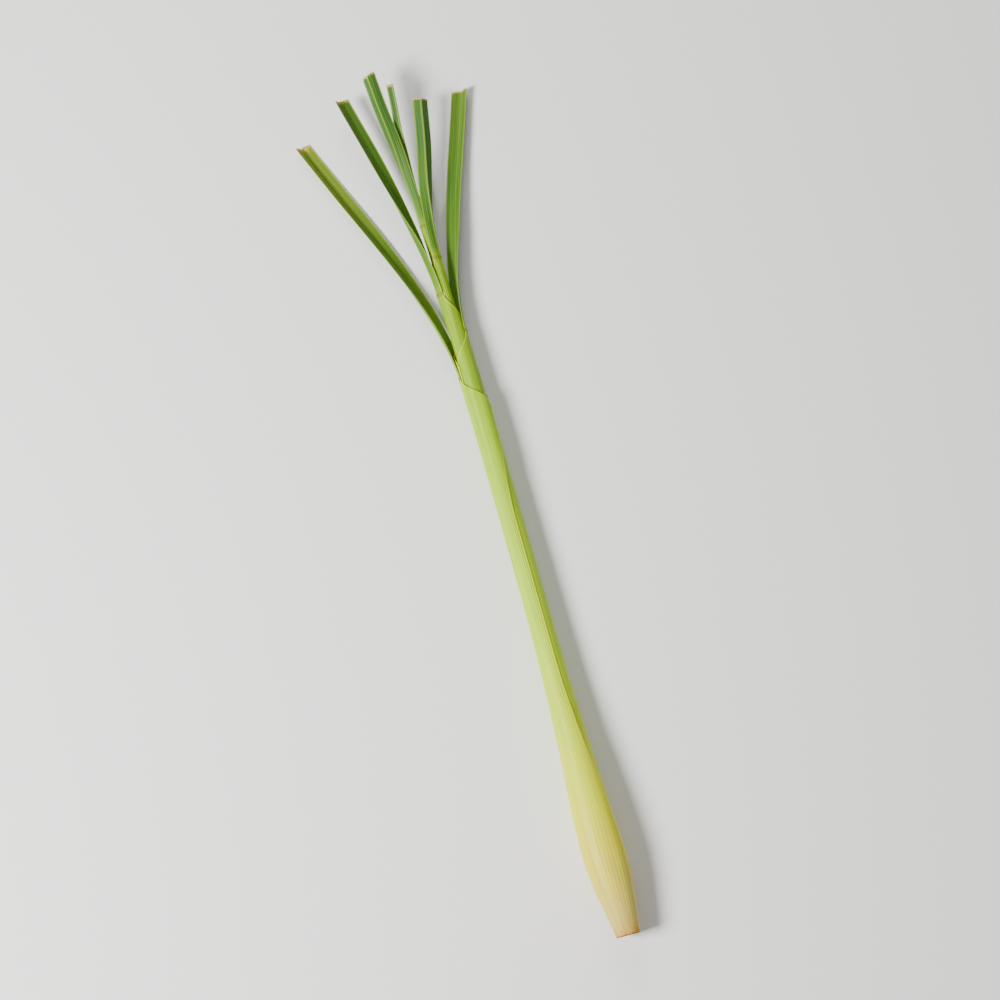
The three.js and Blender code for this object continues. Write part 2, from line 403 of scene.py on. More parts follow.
# %% Values along a ligule
LIGULE_FROM = -1.5
LIGULE_HEIGHT = 1.3
LIGULE_ROWS = 9
LIGULE_WALL = 0.08
LIGULE_WIDTHS = (1.05, 0.6)  # at its root and at its edge, as shares of the blade's foot
LIGULE_ROUNDING = 3
LIGULE_RAGGEDNESS = 0.4  # at its edge, where a blade's tip has 1


def ligule_rows(leaf, layer):
    rows = []
    for i in range(LIGULE_ROWS):
        u = i / (LIGULE_ROWS - 1)
        station = leaf.collar + lerp(LIGULE_FROM, LIGULE_HEIGHT, u)
        row = sheath_row(leaf, layer, station)
        radius = layer_radius(layer, station) - wall_at(station)
        half = collar_half(leaf) * lerp(*LIGULE_WIDTHS, u**LIGULE_ROUNDING)
        row.update(
            midrib=axis_point(station) + row["back"] * radius,
            half_right=half,
            half_left=half,
            curl=1 / radius,
            wall=LIGULE_WALL,
            edge_lift=0.0,
            swell=0.0,
            keel=0.0,
            tip_share=u * LIGULE_RAGGEDNESS,
            rib_share=0.0,
            membrane=1.0,
        )
        rows.append(row)
    return rows


# %% Turn rows of values into a guide line
LENGTHS = ("half_right", "half_left", "wall", "edge_lift", "swell", "keel")
PER_LENGTH = ("curl", "rib_curl")
COLOURED_BY = ("station", "from_collar", "to_tip", "dry_reach", "membrane", "cut_face")
PLAIN_VALUES = ("solid", "fold", "tip_share", "foot_share", "rib_share", *COLOURED_BY)
DIRECTIONS = ("forward", "back", "across")


def with_closed_ends(rows):
    """Doubles the first and the last row as a line with no thickness, halfway through the wall."""
    open_rows = [dict(row, cut_face=0.0) for row in rows]
    first, last = (dict(row, solid=0.0, cut_face=1.0) for row in (rows[0], rows[-1]))
    return [first, *open_rows, last]


def guide_line(name, lines):
    """A mesh of bare edges, one line for each list of rows, that carries the rows' values as attributes."""
    closed = [with_closed_ends(rows) for rows in lines]
    rows = [row for line in closed for row in line]
    edges = []
    start = 0
    for line in closed:
        edges += [(start + i, start + i + 1) for i in range(len(line) - 1)]
        start += len(line)
    mesh = bpy.data.meshes.new(name)
    mesh.from_pydata([row["midrib"] * MM for row in rows], edges, [])
    scales = [(LENGTHS, MM), (PER_LENGTH, 1 / MM), (PLAIN_VALUES, 1)]
    for names, scale in scales:
        for value in names:
            layer = mesh.attributes.new(value, "FLOAT", "POINT")
            layer.data.foreach_set("value", [row[value] * scale for row in rows])
    for value in DIRECTIONS:
        layer = mesh.attributes.new(value, "FLOAT_VECTOR", "POINT")
        layer.data.foreach_set("vector", [number for row in rows for number in row[value]])
    place = mesh.attributes.new("midrib", "FLOAT_VECTOR", "POINT")
    place.data.foreach_set("vector", [number for row in rows for number in row["midrib"] * MM])
    return new_object(name, mesh)


# %% [markdown]
# Node trees are easier to read in Python when each step is one call. The small builder below adds a
# node, fills its inputs with numbers or links, and hands back its first output, so that sums can be
# written one inside the other.

# %% A small builder for node trees
def kind_of(name):
    """An attribute is a plain number, or a vector if it is a direction or a place."""
    return "FLOAT_VECTOR" if name in (*DIRECTIONS, "midrib", "outward") else "FLOAT"


class Tree:
    def __init__(self, name, kind, inputs, outputs):
        """Each input is given by its default number or else by its type."""
        self.tree = bpy.data.node_groups.new(name, kind)
        new_socket = self.tree.interface.new_socket
        for label, default in inputs.items():
            socket = {int: "Int", float: "Float"}.get(type(default), default)
            made = new_socket(label, in_out="INPUT", socket_type=f"NodeSocket{socket}")
            if socket != default:
                made.default_value = default
        result = "Geometry" if kind == "GeometryNodeTree" else "Float"
        for label in outputs:
            new_socket(label, in_out="OUTPUT", socket_type=f"NodeSocket{result}")
        self.given = self.tree.nodes.new("NodeGroupInput").outputs
        self.result = self.tree.nodes.new("NodeGroupOutput").inputs

    def fill(self, socket, value):
        if isinstance(value, bpy.types.NodeSocket):
            self.tree.links.new(value, socket)
        elif value is not None:
            socket.default_value = value

    def node(self, kind, values=(), named=None, **settings):
        made = self.tree.nodes.new(kind)
        for key, value in settings.items():
            setattr(made, key, value)
        for i, value in enumerate(values):
            self.fill(made.inputs[i], value)
        for key, value in (named or {}).items():
            self.fill(made.inputs[key], value)
        return made

    def out(self, *given, **settings):
        """The first output of a new node."""
        return self.node(*given, **settings).outputs[0]

    def value(self, name):
        """What a point of the mesh carries under this name."""
        return self.out("GeometryNodeInputNamedAttribute", (name,), data_type=kind_of(name))

    def math(self, operation, *values):
        return self.out("ShaderNodeMath", values, operation=operation)

    def chain(self, operation, values):
        result = values[0]
        for value in values[1:]:
            result = self.math(operation, result, value)
        return result

    def add(self, *values):
        return self.chain("ADD", values)

    def multiply(self, *values):
        return self.chain("MULTIPLY", values)

    def subtract(self, a, b):
        return self.math("SUBTRACT", a, b)

    def vector(self, operation, a, b):
        return self.out("ShaderNodeVectorMath", (a, b), operation=operation)

    def scaled(self, vector, factor):
        return self.out("ShaderNodeVectorMath", (vector,), {"Scale": factor}, operation="SCALE")

    def split(self, vector):
        return self.node("ShaderNodeSeparateXYZ", (vector,)).outputs

    def ramp(self, value, low, high, to_low=0.0, to_high=1.0):
        """Maps low to high onto to_low to to_high, and holds the value outside."""
        values = (value, low, high, to_low, to_high)
        return self.out("ShaderNodeMapRange", values, interpolation_type="SMOOTHSTEP")

    def rise(self, value, span):
        """0 below the span and 1 above it."""
        return self.ramp(value, *span)

    def fall(self, value, span):
        """1 below the span and 0 above it."""
        return self.ramp(value, *span, 1.0, 0.0)

    def bell(self, value, width):
        """1 at nought, and less the further the value is from it."""
        square = self.math("POWER", self.math("DIVIDE", value, width), 2.0)
        return self.math("EXPONENT", self.multiply(square, -1))

    def cycle(self, value):
        """1 where the value is a whole number and 0 halfway between."""
        wave = self.math("COSINE", self.multiply(value, math.tau))
        return self.add(self.multiply(wave, 0.5), 0.5)

    def noise(self, place, scale, detail):
        named = {"Vector": place, "Scale": scale, "Detail": detail}
        return self.out("ShaderNodeTexNoise", named=named)

    def combine(self, x, y, z):
        return self.out("ShaderNodeCombineXYZ", (x, y, z))


# %% [markdown]
# The tree "Rolled leaf" sweeps a flat ring of points along the guide line and then puts every point
# where the rule says: the distance from the midrib is rolled up by the curl, folded along the midrib,
# and moved out or in by half the wall. Curve to Mesh could roll a fixed profile, but this profile
# changes all the way from tube to blade. Where the rolled edges meet, the right one is lifted and the
# left one sinks, so that they overlap as real margins do.

# %% The tree for a rolled leaf
LAP = (math.pi - 1.2, math.pi - 0.25)  # where round the roll one edge comes to lie over the other
SWELL_SIDE = (0.75, 1.0)  # where the collar's swelling thins out, as shares of its half width
KEEL_WIDTH = 0.55
NOTCH_WIDTH = 0.13  # as a share of the blade's half width
WELD = 0.002  # points closer than this are joined

# Noises that roughen a leaf. Level is the value at which they leave the leaf as it is.
LUMPS = dict(across=350, scale=1.0, detail=1.0, level=0.35)
LUMPS_ALONG = 0.045
RAGS = dict(across=9, scale=1.6, detail=3.0, level=0.75)
RAGS_PLACE = 0.5
TEARS = dict(across=16, scale=1.0, detail=3.0, level=0.45)


def store(t, geometry, name, value):
    named = {"Geometry": geometry, "Name": name}
    made = t.node("GeometryNodeStoreNamedAttribute", named=named, data_type=kind_of(name), domain="POINT")
    t.fill(made.inputs["Value"], value)
    return made.outputs[0]


def roughness_noise(t, kind, across, y, z):
    """Noise that changes across the leaf. The last two values choose the stretch of noise."""
    place = t.combine(t.multiply(across, kind["across"]), y, z)
    return t.subtract(t.noise(place, kind["scale"], kind["detail"]), kind["level"])


def rolled_leaf_tree():
    inputs = {
        "Midrib": "Geometry",
        "Columns": 160,
        "Margin thickness": 0.3,
        "Margin width": 0.0025,
        "Unevenness": 0.00012,
        "Cut slant": 0.0,
        "Notch depth": 0.001,
        "Notch place": 0.0,
        "Ragged depth": 0.0005,
        "Foot raggedness": 0.0006,
        "Seed": 0.0,
        "Ribs": 36,
    }
    t = Tree("Rolled leaf", "GeometryNodeTree", inputs, ["Leaf"])
    given = t.given
    columns = given["Columns"]
    ring_count = t.multiply(t.add(columns, 1), 2)
    ring_line = t.out("GeometryNodeMeshLine", named={"Count": ring_count, "Offset": (0, 0, MM)})
    ring = t.out("GeometryNodeMeshToCurve", (ring_line,))
    ring = t.out("GeometryNodeSetSplineCyclic", named={"Geometry": ring, "Cyclic": True})
    index = t.out("GeometryNodeInputIndex")
    column = t.math("MINIMUM", index, t.subtract(t.add(t.multiply(columns, 2), 1), index))
    across_share = t.subtract(t.math("DIVIDE", t.multiply(column, 2), columns), 1)
    which_side = t.math("SIGN", t.subtract(t.add(columns, 0.5), index))
    ring = store(t, ring, "share", across_share)
    ring = store(t, ring, "side", which_side)
    line = t.out("GeometryNodeMeshToCurve", (given["Midrib"],))
    swept = t.out("GeometryNodeCurveToMesh", named={"Curve": line, "Profile Curve": ring})

    share = t.value("share")
    side = t.value("side")
    size = t.math("ABSOLUTE", share)
    right = t.math("GREATER_THAN", share, 0)
    half = t.add(
        t.multiply(t.value("half_right"), right),
        t.multiply(t.value("half_left"), t.subtract(1, right)),
    )
    arc = t.multiply(size, half)
    curl = t.value("curl")
    fold = t.value("fold")
    roll = t.multiply(arc, curl)
    sideways = t.math("DIVIDE", t.math("SINE", roll), curl)
    inwards = t.math("DIVIDE", t.subtract(t.math("COSINE", roll), 1), curl)
    fold_cosine = t.math("COSINE", fold)
    fold_sine = t.math("SINE", fold)
    x = t.add(t.multiply(sideways, fold_cosine), t.multiply(inwards, fold_sine))
    y = t.subtract(t.multiply(inwards, fold_cosine), t.multiply(sideways, fold_sine))
    hand = t.math("SIGN", share)
    across = t.value("across")
    back = t.value("back")
    skin = t.vector(
        "ADD",
        t.value("midrib"),
        t.vector("ADD", t.scaled(across, t.multiply(x, hand)), t.scaled(back, y)),
    )
    lean = t.add(roll, fold)
    outward = t.vector(
        "ADD",
        t.scaled(across, t.multiply(t.math("SINE", lean), hand)),
        t.scaled(back, t.math("COSINE", lean)),
    )
    outward = t.out("ShaderNodeVectorMath", (outward,), operation="NORMALIZE")

    to_margin = t.subtract(half, arc)
    thinning = t.ramp(to_margin, 0.0, given["Margin width"], given["Margin thickness"], 1.0)
    middle = t.multiply(t.value("wall"), thinning, 0.5)
    half_wall = t.multiply(middle, t.value("solid"))
    lift = t.multiply(t.value("edge_lift"), hand, t.rise(roll, LAP))
    swell = t.multiply(t.value("swell"), t.fall(size, SWELL_SIDE))
    keel = t.multiply(t.value("keel"), t.bell(arc, KEEL_WIDTH * MM), t.math("GREATER_THAN", side, 0))
    along = t.multiply(t.value("station"), LUMPS_ALONG)
    lumps = roughness_noise(t, LUMPS, t.multiply(share, half), along, given["Seed"])
    lumps = t.multiply(lumps, given["Unevenness"], t.value("rib_share"))
    height = t.add(t.subtract(t.multiply(half_wall, side), middle), lift, swell, keel, lumps)

    ragged = roughness_noise(t, RAGS, share, given["Seed"], RAGS_PLACE)
    ragged = t.multiply(ragged, given["Ragged depth"])
    notch = t.bell(t.subtract(share, given["Notch place"]), NOTCH_WIDTH)
    notch = t.multiply(notch, given["Notch depth"])
    slanted = t.multiply(x, hand, given["Cut slant"])
    cut = t.multiply(t.add(slanted, t.subtract(ragged, notch)), t.value("tip_share"))
    torn = roughness_noise(t, TEARS, share, given["Seed"], side)
    torn = t.multiply(torn, given["Foot raggedness"])
    cut = t.add(cut, t.multiply(torn, t.value("foot_share")))
    place = t.vector("ADD", skin, t.scaled(outward, height))
    place = t.vector("ADD", place, t.scaled(t.value("forward"), cut))
    apart = t.split(place)
    place = t.combine(apart[0], apart[1], t.math("MAXIMUM", apart[2], 0.0))

    in_mm = 1 / MM
    ribs = t.math("DIVIDE", t.multiply(arc, hand, t.value("rib_curl")), math.tau)
    leaf = store(t, swept, "rib_phase", t.multiply(ribs, given["Ribs"]))
    leaf = store(t, leaf, "from_midrib", t.multiply(arc, in_mm))
    leaf = store(t, leaf, "to_margin", t.multiply(to_margin, in_mm))
    leaf = store(t, leaf, "outward", t.scaled(outward, side))
    leaf = t.out("GeometryNodeSetPosition", named={"Geometry": leaf, "Position": place})
    leaf = t.out("GeometryNodeMergeByDistance", named={"Geometry": leaf, "Distance": WELD * MM})
    t.fill(t.result[0], leaf)
    return t.tree


# %% [markdown]
# Lemongrass feels ribbed because a vein runs under every ridge. A second tree raises the ribs on any
# surface that knows its rib number and its outward direction. It could be a bump in the material, but
# then the outline and the exported mesh would be smooth. It also marks sharp edges, joins what is left
# apart and hands over the material.

# %% The tree for lengthwise ribs
RIB_SHARPNESS = 1.4
RIB_EDGE = (0.1, 1.2)  # distances from the leaf's edge over which the ribs begin
PRESSED = (0.0, 0.25)  # heights over the table up to which they are pressed flat


def ribs_tree():
    inputs = {"Surface": "Geometry", "Rib height": 0.00006, "Sharp angle": 0.7, "Finish": "Material"}
    t = Tree("Lengthwise ribs", "GeometryNodeTree", inputs, ["Ribbed surface"])
    given = t.given
    ridge = t.math("POWER", t.cycle(t.value("rib_phase")), RIB_SHARPNESS)
    strength = t.multiply(t.rise(t.value("to_margin"), RIB_EDGE), t.value("rib_share"))
    height = t.multiply(ridge, given["Rib height"], strength)
    offset = t.scaled(t.value("outward"), height)
    apart = t.split(t.out("GeometryNodeInputPosition"))
    clear = t.rise(apart[2], [level * MM for level in PRESSED])
    named = {"Geometry": given["Surface"], "Offset": t.scaled(offset, clear)}
    raised = t.out("GeometryNodeSetPosition", named=named)
    edge_angle = t.out("GeometryNodeInputMeshEdgeAngle")
    round_edges = t.math("LESS_THAN", edge_angle, given["Sharp angle"])
    named = {"Geometry": raised, "Shade Smooth": round_edges}
    shaded = t.out("GeometryNodeSetShadeSmooth", named=named, domain="EDGE")
    real = t.out("GeometryNodeRealizeInstances", (shaded,))
    done = t.out("GeometryNodeSetMaterial", named={"Geometry": real, "Material": given["Finish"]})
    t.fill(t.result[0], done)
    return t.tree


rolled_leaf = rolled_leaf_tree()
lengthwise_ribs = ribs_tree()
print("trees:", rolled_leaf.name, "and", lengthwise_ribs.name)

# %% [markdown]
# A modifier's input is set by its socket's identifier, before the object is first evaluated. The
# finished shape is then copied out as a plain mesh. What only the tree needed is taken off it, and the
# faces are turned outwards if the sweep ran the other way round.

# %% From a tree to a plain piece
CM3_IN_M3 = 1e6
MESH_VALUES = ("position", "sharp_edge", "sharp_face", "material_index")
KEPT_VALUES = ("rib_phase", "from_midrib", "to_margin", *COLOURED_BY)


def grow(piece, tree, **values):
    modifier = piece.modifiers.new(tree.name, "NODES")
    modifier.node_group = tree
    identifiers = {item.name: item.identifier for item in tree.interface.items_tree if item.in_out == "INPUT"}
    for label, value in values.items():
        modifier[identifiers[label.replace("_", " ")]] = value


def face_outwards(mesh):
    """Turns the faces of a closed mesh outwards and returns the volume inside it."""
    mesh.calc_loop_triangles()
    points = [v.co for v in mesh.vertices]
    corners = [[points[i] for i in triangle.vertices] for triangle in mesh.loop_triangles]
    volume = sum(a.dot(b.cross(c)) for a, b, c in corners) / 6
    if volume < 0:
        mesh.flip_normals()
    return abs(volume)


def plain_piece(guide, name, material):
    """Copies the evaluated guide into a plain mesh piece and clears the guide away."""
    depsgraph = bpy.context.evaluated_depsgraph_get()
    mesh = bpy.data.meshes.new_from_object(guide.evaluated_get(depsgraph), depsgraph=depsgraph)
    mesh.name = name
    for layer in list(mesh.attributes):
        needed = layer.name.startswith(".") or layer.name in (*MESH_VALUES, *KEPT_VALUES)
        if not needed and layer.domain != "CORNER":
            mesh.attributes.remove(layer)
    mesh.materials.clear()
    mesh.materials.append(material)
    volume = face_outwards(mesh)
    piece = new_object(name, mesh)
    guide_mesh = guide.data
    bpy.data.objects.remove(guide)
    bpy.data.meshes.remove(guide_mesh)
    print(name, len(mesh.loop_triangles), "triangles", round(volume * CM3_IN_M3, 2), "cm3")
    return piece


# %% [markdown]
# Finishes. Three effects come back on every leaf, the second at both of its ends, so each is a shader
# group with named inputs: fine lines that run along the ribs, a dry brown zone that eats in from a cut
# end, and soft blotches that are drawn out along the leaf. The colours and the Principled shader stay
# in each material.

# %% Shader group: fine lines
WOBBLE = dict(per_rib=1.0, per_mm=0.02, scale=0.7, detail=2.0)
WOBBLE_SHARE = 0.25  # of a rib, by which the lines wander
BREAKS = dict(per_rib=2.6, per_mm=0.06, scale=1.0, detail=3.0)
BREAKS_PLACE = 3.0
UNBROKEN = (0.35, 0.65)
LINE_SHARPNESS = 2.0
RIDGE_SHARE = 0.6  # of the height, and the rest for the lines


def leaf_noise(t, kind, rib, station, place):
    """Noise drawn out along the leaf. The last value chooses the stretch of noise."""
    at = t.combine(t.multiply(rib, kind["per_rib"]), t.multiply(station, kind["per_mm"]), place)
    return t.noise(at, kind["scale"], kind["detail"])


def fine_lines_group():
    inputs = {"Rib number": 0.0, "Station": 0.0, "Lines in a rib": 3.0}
    t = Tree("Fine lines along a leaf", "ShaderNodeTree", inputs, ["Line", "Ridge", "Height"])
    rib, station = t.given["Rib number"], t.given["Station"]
    wobble = t.subtract(leaf_noise(t, WOBBLE, rib, station, 0.0), 0.5)
    number = t.add(rib, t.multiply(wobble, WOBBLE_SHARE))
    ridge = t.cycle(number)
    fine = t.cycle(t.multiply(number, t.given["Lines in a rib"]))
    unbroken = t.rise(leaf_noise(t, BREAKS, number, station, BREAKS_PLACE), UNBROKEN)
    t.fill(t.result["Line"], t.multiply(t.math("POWER", fine, LINE_SHARPNESS), unbroken))
    t.fill(t.result["Ridge"], ridge)
    t.fill(t.result["Height"], t.add(t.multiply(ridge, RIDGE_SHARE), t.multiply(fine, 1 - RIDGE_SHARE)))
    return t.tree


# %% Shader group: the dry zone at a cut
TONGUES = dict(per_rib=0.9, per_mm=0.12, scale=1.3, detail=3.0)
TONGUE_LEVELS = (0.3, 0.75)
TONGUE_REACH = (0.35, 1.5)  # shares of the reach
DRY_EDGE = (0.35, 1.15)  # shares of a tongue's length
SCORCHED_SHARE = 0.22


def dry_end_group():
    inputs = {"Distance": 0.0, "Reach": 4.0, "Rib number": 0.0, "Seed": 0.0}
    t = Tree("Dry zone at a cut", "ShaderNodeTree", inputs, ["Dry", "Scorched"])
    distance = t.given["Distance"]
    across = t.multiply(t.given["Rib number"], TONGUES["per_rib"])
    place = t.combine(across, t.given["Seed"], t.multiply(distance, TONGUES["per_mm"]))
    tongues = t.noise(place, TONGUES["scale"], TONGUES["detail"])
    reach = t.multiply(t.given["Reach"], t.ramp(tongues, *TONGUE_LEVELS, *TONGUE_REACH))
    t.fill(t.result["Dry"], t.fall(t.math("DIVIDE", distance, reach), DRY_EDGE))
    t.fill(t.result["Scorched"], t.fall(distance, (0.0, t.multiply(reach, SCORCHED_SHARE))))
    return t.tree


# %% Shader group: blotches
SOFT = dict(per_rib=0.09, per_mm=0.018, scale=2.0, detail=2.0)
STREAK = dict(per_rib=0.8, per_mm=0.012, scale=1.6, detail=3.0)
FRECKLE = dict(per_rib=1.7, per_mm=0.75, scale=1.1, detail=2.0)
FRECKLE_EDGE = (0.71, 0.78)


def blotches_group():
    inputs = {"Rib number": 0.0, "Station": 0.0, "Seed": 0.0}
    t = Tree("Drawn-out blotches", "ShaderNodeTree", inputs, ["Soft", "Streak", "Freckle"])
    given = (t.given["Rib number"], t.given["Station"], t.given["Seed"])
    t.fill(t.result["Soft"], leaf_noise(t, SOFT, *given))
    t.fill(t.result["Streak"], leaf_noise(t, STREAK, *given))
    t.fill(t.result["Freckle"], t.rise(leaf_noise(t, FRECKLE, *given), FRECKLE_EDGE))
    return t.tree


fine_lines = fine_lines_group()
dry_end = dry_end_group()
blotches = blotches_group()
print("shader groups:", fine_lines.name, "|", dry_end.name, "|", blotches.name)

# %% [markdown]
# A leaf's colour changes in order from its foot to its tip: pinkish cream in the bulb, pale yellow
# above it, lime green up the shaft, and a deeper green blade. Two colour ramps along the leaf say that
# better than any picture could, and a mask at the collar changes from one to the other.

# %% Colours of a leaf
SHEATH_COLOURS = [
    (0, srgb(194, 152, 90)),
    (6, srgb(204, 172, 96)),
    (17, srgb(210, 182, 82)),
    (32, srgb(220, 200, 50)),
    (52, srgb(218, 214, 20)),
    (82, srgb(204, 220, 8)),
    (125, srgb(180, 216, 3)),
    (180, srgb(158, 208, 3)),
    (300, srgb(132, 188, 3)),
]
SHEATH_LENGTH = 300
BLADE_LENGTH = 140


def overlay(colour, strength, blade_colour=None, blade_strength=None):
    """A colour mixed over a leaf's own, and how strongly, on the sheath and, if they differ, on the blade."""
    return (colour, blade_colour or colour), (strength, blade_strength or strength)


PALE_LINES = overlay(srgb(230, 238, 48), 0.2, srgb(146, 178, 40), 0.3)
GROOVES = overlay(srgb(138, 160, 8), 0.13, srgb(38, 70, 18), 0.3)
PALE_STREAKS = overlay(srgb(216, 230, 24), 0.28, srgb(114, 152, 36))
DIM_STREAKS = overlay(srgb(124, 164, 4), 0.32, srgb(42, 80, 22))
MIDRIB = overlay(srgb(160, 184, 70), 0.4)
MARGINS = overlay(srgb(238, 232, 70), 0.6, srgb(168, 190, 60), 0.4)
FRECKLES = overlay(srgb(150, 118, 62), 0.45)
COLLAR_BAND = overlay(srgb(112, 116, 24), 0.8)
DRY_TIP = overlay(srgb(206, 182, 84), 0.85)
SCORCHED_TIP = overlay(srgb(118, 72, 30), 0.8)
DRY_FOOT = overlay(srgb(206, 140, 44), 0.62)
SCORCHED_FOOT = overlay(srgb(122, 72, 36), 0.85)
CUT_FACE = overlay(srgb(206, 172, 92), 0.85, srgb(206, 182, 84))
MEMBRANE = overlay(srgb(204, 190, 84), 1.0)


# %% A small builder for materials
class Shader(Tree):
    """The same builder for a material's own tree."""

    def __init__(self, name):
        self.material = bpy.data.materials.new(name)
        self.material.use_nodes = True
        self.tree = self.material.node_tree
        self.principled = self.tree.nodes["Principled BSDF"]

    def value(self, name):
        return self.node("ShaderNodeAttribute", attribute_name=name).outputs["Fac"]

    def group(self, tree, **values):
        made = self.tree.nodes.new("ShaderNodeGroup")
        made.node_tree = tree
        for label, value in values.items():
            self.fill(made.inputs[label.replace("_", " ")], value)
        return made.outputs

    def mix(self, factor, a, b):
        made = self.node("ShaderNodeMix", data_type="RGBA")
        sockets = [socket for socket in made.inputs if socket.enabled]
        for socket, value in zip(sockets, (factor, a, b)):
            self.fill(socket, value)
        return next(socket for socket in made.outputs if socket.enabled)

    def colours(self, value, stops, length):
        made = self.node("ShaderNodeValToRGB", (self.math("DIVIDE", value, length),))
        elements = made.color_ramp.elements
        while len(elements) < len(stops):
            elements.new(1.0)
        for element, (at, colour) in zip(elements, stops):
            element.position = at / length
            element.color = colour
        return made.outputs[0]

    def bump(self, height, strength, distance):
        named = {"Strength": strength, "Distance": distance, "Height": height}
        self.set(Normal=self.out("ShaderNodeBump", named=named))

    def set(self, **values):
        for label, value in values.items():
            self.fill(self.principled.inputs[label.replace("_", " ")], value)


# %% Finishes of the leaves
LEAFY = (-3, 9)  # distances from the collar between which sheath turns into blade
LINES_IN_A_RIB = 3.0
COLOUR_SHIFT = 46  # how far soft blotches push the sheath's colours along it
TINTED = (60, 200)  # stations between which a sheath takes on its blade's green
PALE_STREAK_LEVELS = (0.35, 0.72)
DIM_STREAK_LEVELS = (0.2, 0.5)
MIDRIB_EDGE = (0.25, 0.75)
MARGIN_EDGE = (0.15, 0.75)
COLLAR_BAND_REACH = 1.3
CUT_EDGE = (0.12, 0.5)
FOOT_DRY_REACH = 3.4
FOOT_SEED = 4  # more than the tip's
ROUGHNESS = (0.46, 0.5)  # of the sheath and of the blade
BLOTCH_ROUGHNESS = 0.16
DRY_ROUGHNESS = 0.35
RIDGE_POLISH = 0.05
GLINT = 0.2
WAX = 0.03
WAX_ROUGHNESS = 0.3
LIGHT_SHARE = 0.1  # of the light that goes into the leaf
LIGHT_DEPTH = 1.5
LIGHT_COLOURS = (0.9, 1.0, 0.35)
STREAK_RELIEF = 0.8
RELIEF = 0.12
RELIEF_STRENGTH = 0.35


def leaf_colour(s, blade_stops, sheath_tint, lines, spots, tip, foot):
    """The base colour: that of the sheath or of the blade, with the overlays mixed over it in turn."""
    station = s.value("station")
    from_collar = s.value("from_collar")
    leafy = s.rise(from_collar, LEAFY)
    shifted = s.add(station, s.multiply(s.subtract(spots["Soft"], 0.5), COLOUR_SHIFT))
    sheath = s.colours(shifted, SHEATH_COLOURS, SHEATH_LENGTH)
    sheath = s.mix(s.multiply(s.rise(station, TINTED), sheath_tint), sheath, blade_stops[1][1])
    colour = s.mix(leafy, sheath, s.colours(from_collar, blade_stops, BLADE_LENGTH))
    overlays = [
        (lines["Line"], PALE_LINES),
        (s.subtract(1, lines["Ridge"]), GROOVES),
        (s.rise(spots["Streak"], PALE_STREAK_LEVELS), PALE_STREAKS),
        (s.fall(spots["Streak"], DIM_STREAK_LEVELS), DIM_STREAKS),
        (s.multiply(s.fall(s.value("from_midrib"), MIDRIB_EDGE), leafy), MIDRIB),
        (s.fall(s.value("to_margin"), MARGIN_EDGE), MARGINS),
        (spots["Freckle"], FRECKLES),
        (s.bell(from_collar, COLLAR_BAND_REACH), COLLAR_BAND),
        (tip["Dry"], DRY_TIP),
        (tip["Scorched"], SCORCHED_TIP),
        (foot["Dry"], DRY_FOOT),
        (foot["Scorched"], SCORCHED_FOOT),
        (s.rise(s.value("cut_face"), CUT_EDGE), CUT_FACE),
        (s.value("membrane"), MEMBRANE),
    ]
    for mask, (colours, strengths) in overlays:
        strength = s.multiply(mask, s.ramp(leafy, 0, 1, *strengths))
        colour = s.mix(strength, colour, s.mix(leafy, *colours))
    return colour


def leaf_finish(name, blade_stops, sheath_tint, seed):
    """A waxy leaf. Blade stops give the blade's greens, and sheath tint how green its sheath is."""
    s = Shader(name)
    rib = s.value("rib_phase")
    station = s.value("station")
    lines = s.group(fine_lines, Rib_number=rib, Station=station, Lines_in_a_rib=LINES_IN_A_RIB)
    spots = s.group(blotches, Rib_number=rib, Station=station, Seed=seed)
    to_tip, reach = s.value("to_tip"), s.value("dry_reach")
    tip = s.group(dry_end, Distance=to_tip, Reach=reach, Rib_number=rib, Seed=seed)
    foot = s.group(dry_end, Distance=station, Reach=FOOT_DRY_REACH, Rib_number=rib, Seed=seed + FOOT_SEED)
    colour = leaf_colour(s, blade_stops, sheath_tint, lines, spots, tip, foot)

    leafy = s.rise(s.value("from_collar"), LEAFY)
    dryness = s.math("MAXIMUM", tip["Dry"], foot["Dry"])
    roughness = s.add(
        s.ramp(leafy, 0, 1, *ROUGHNESS),
        s.multiply(s.subtract(spots["Soft"], 0.5), BLOTCH_ROUGHNESS),
        s.multiply(dryness, DRY_ROUGHNESS),
        s.multiply(lines["Ridge"], -RIDGE_POLISH),
    )
    s.set(Base_Color=colour, Roughness=roughness, Specular_IOR_Level=GLINT)
    s.set(Coat_Weight=s.multiply(s.subtract(1, dryness), WAX), Coat_Roughness=WAX_ROUGHNESS)
    s.set(Subsurface_Weight=LIGHT_SHARE, Subsurface_Scale=LIGHT_DEPTH * MM, Subsurface_Radius=LIGHT_COLOURS)
    relief = s.add(lines["Height"], s.multiply(spots["Streak"], STREAK_RELIEF))
    s.bump(relief, RELIEF_STRENGTH, RELIEF * MM)
    return s.material


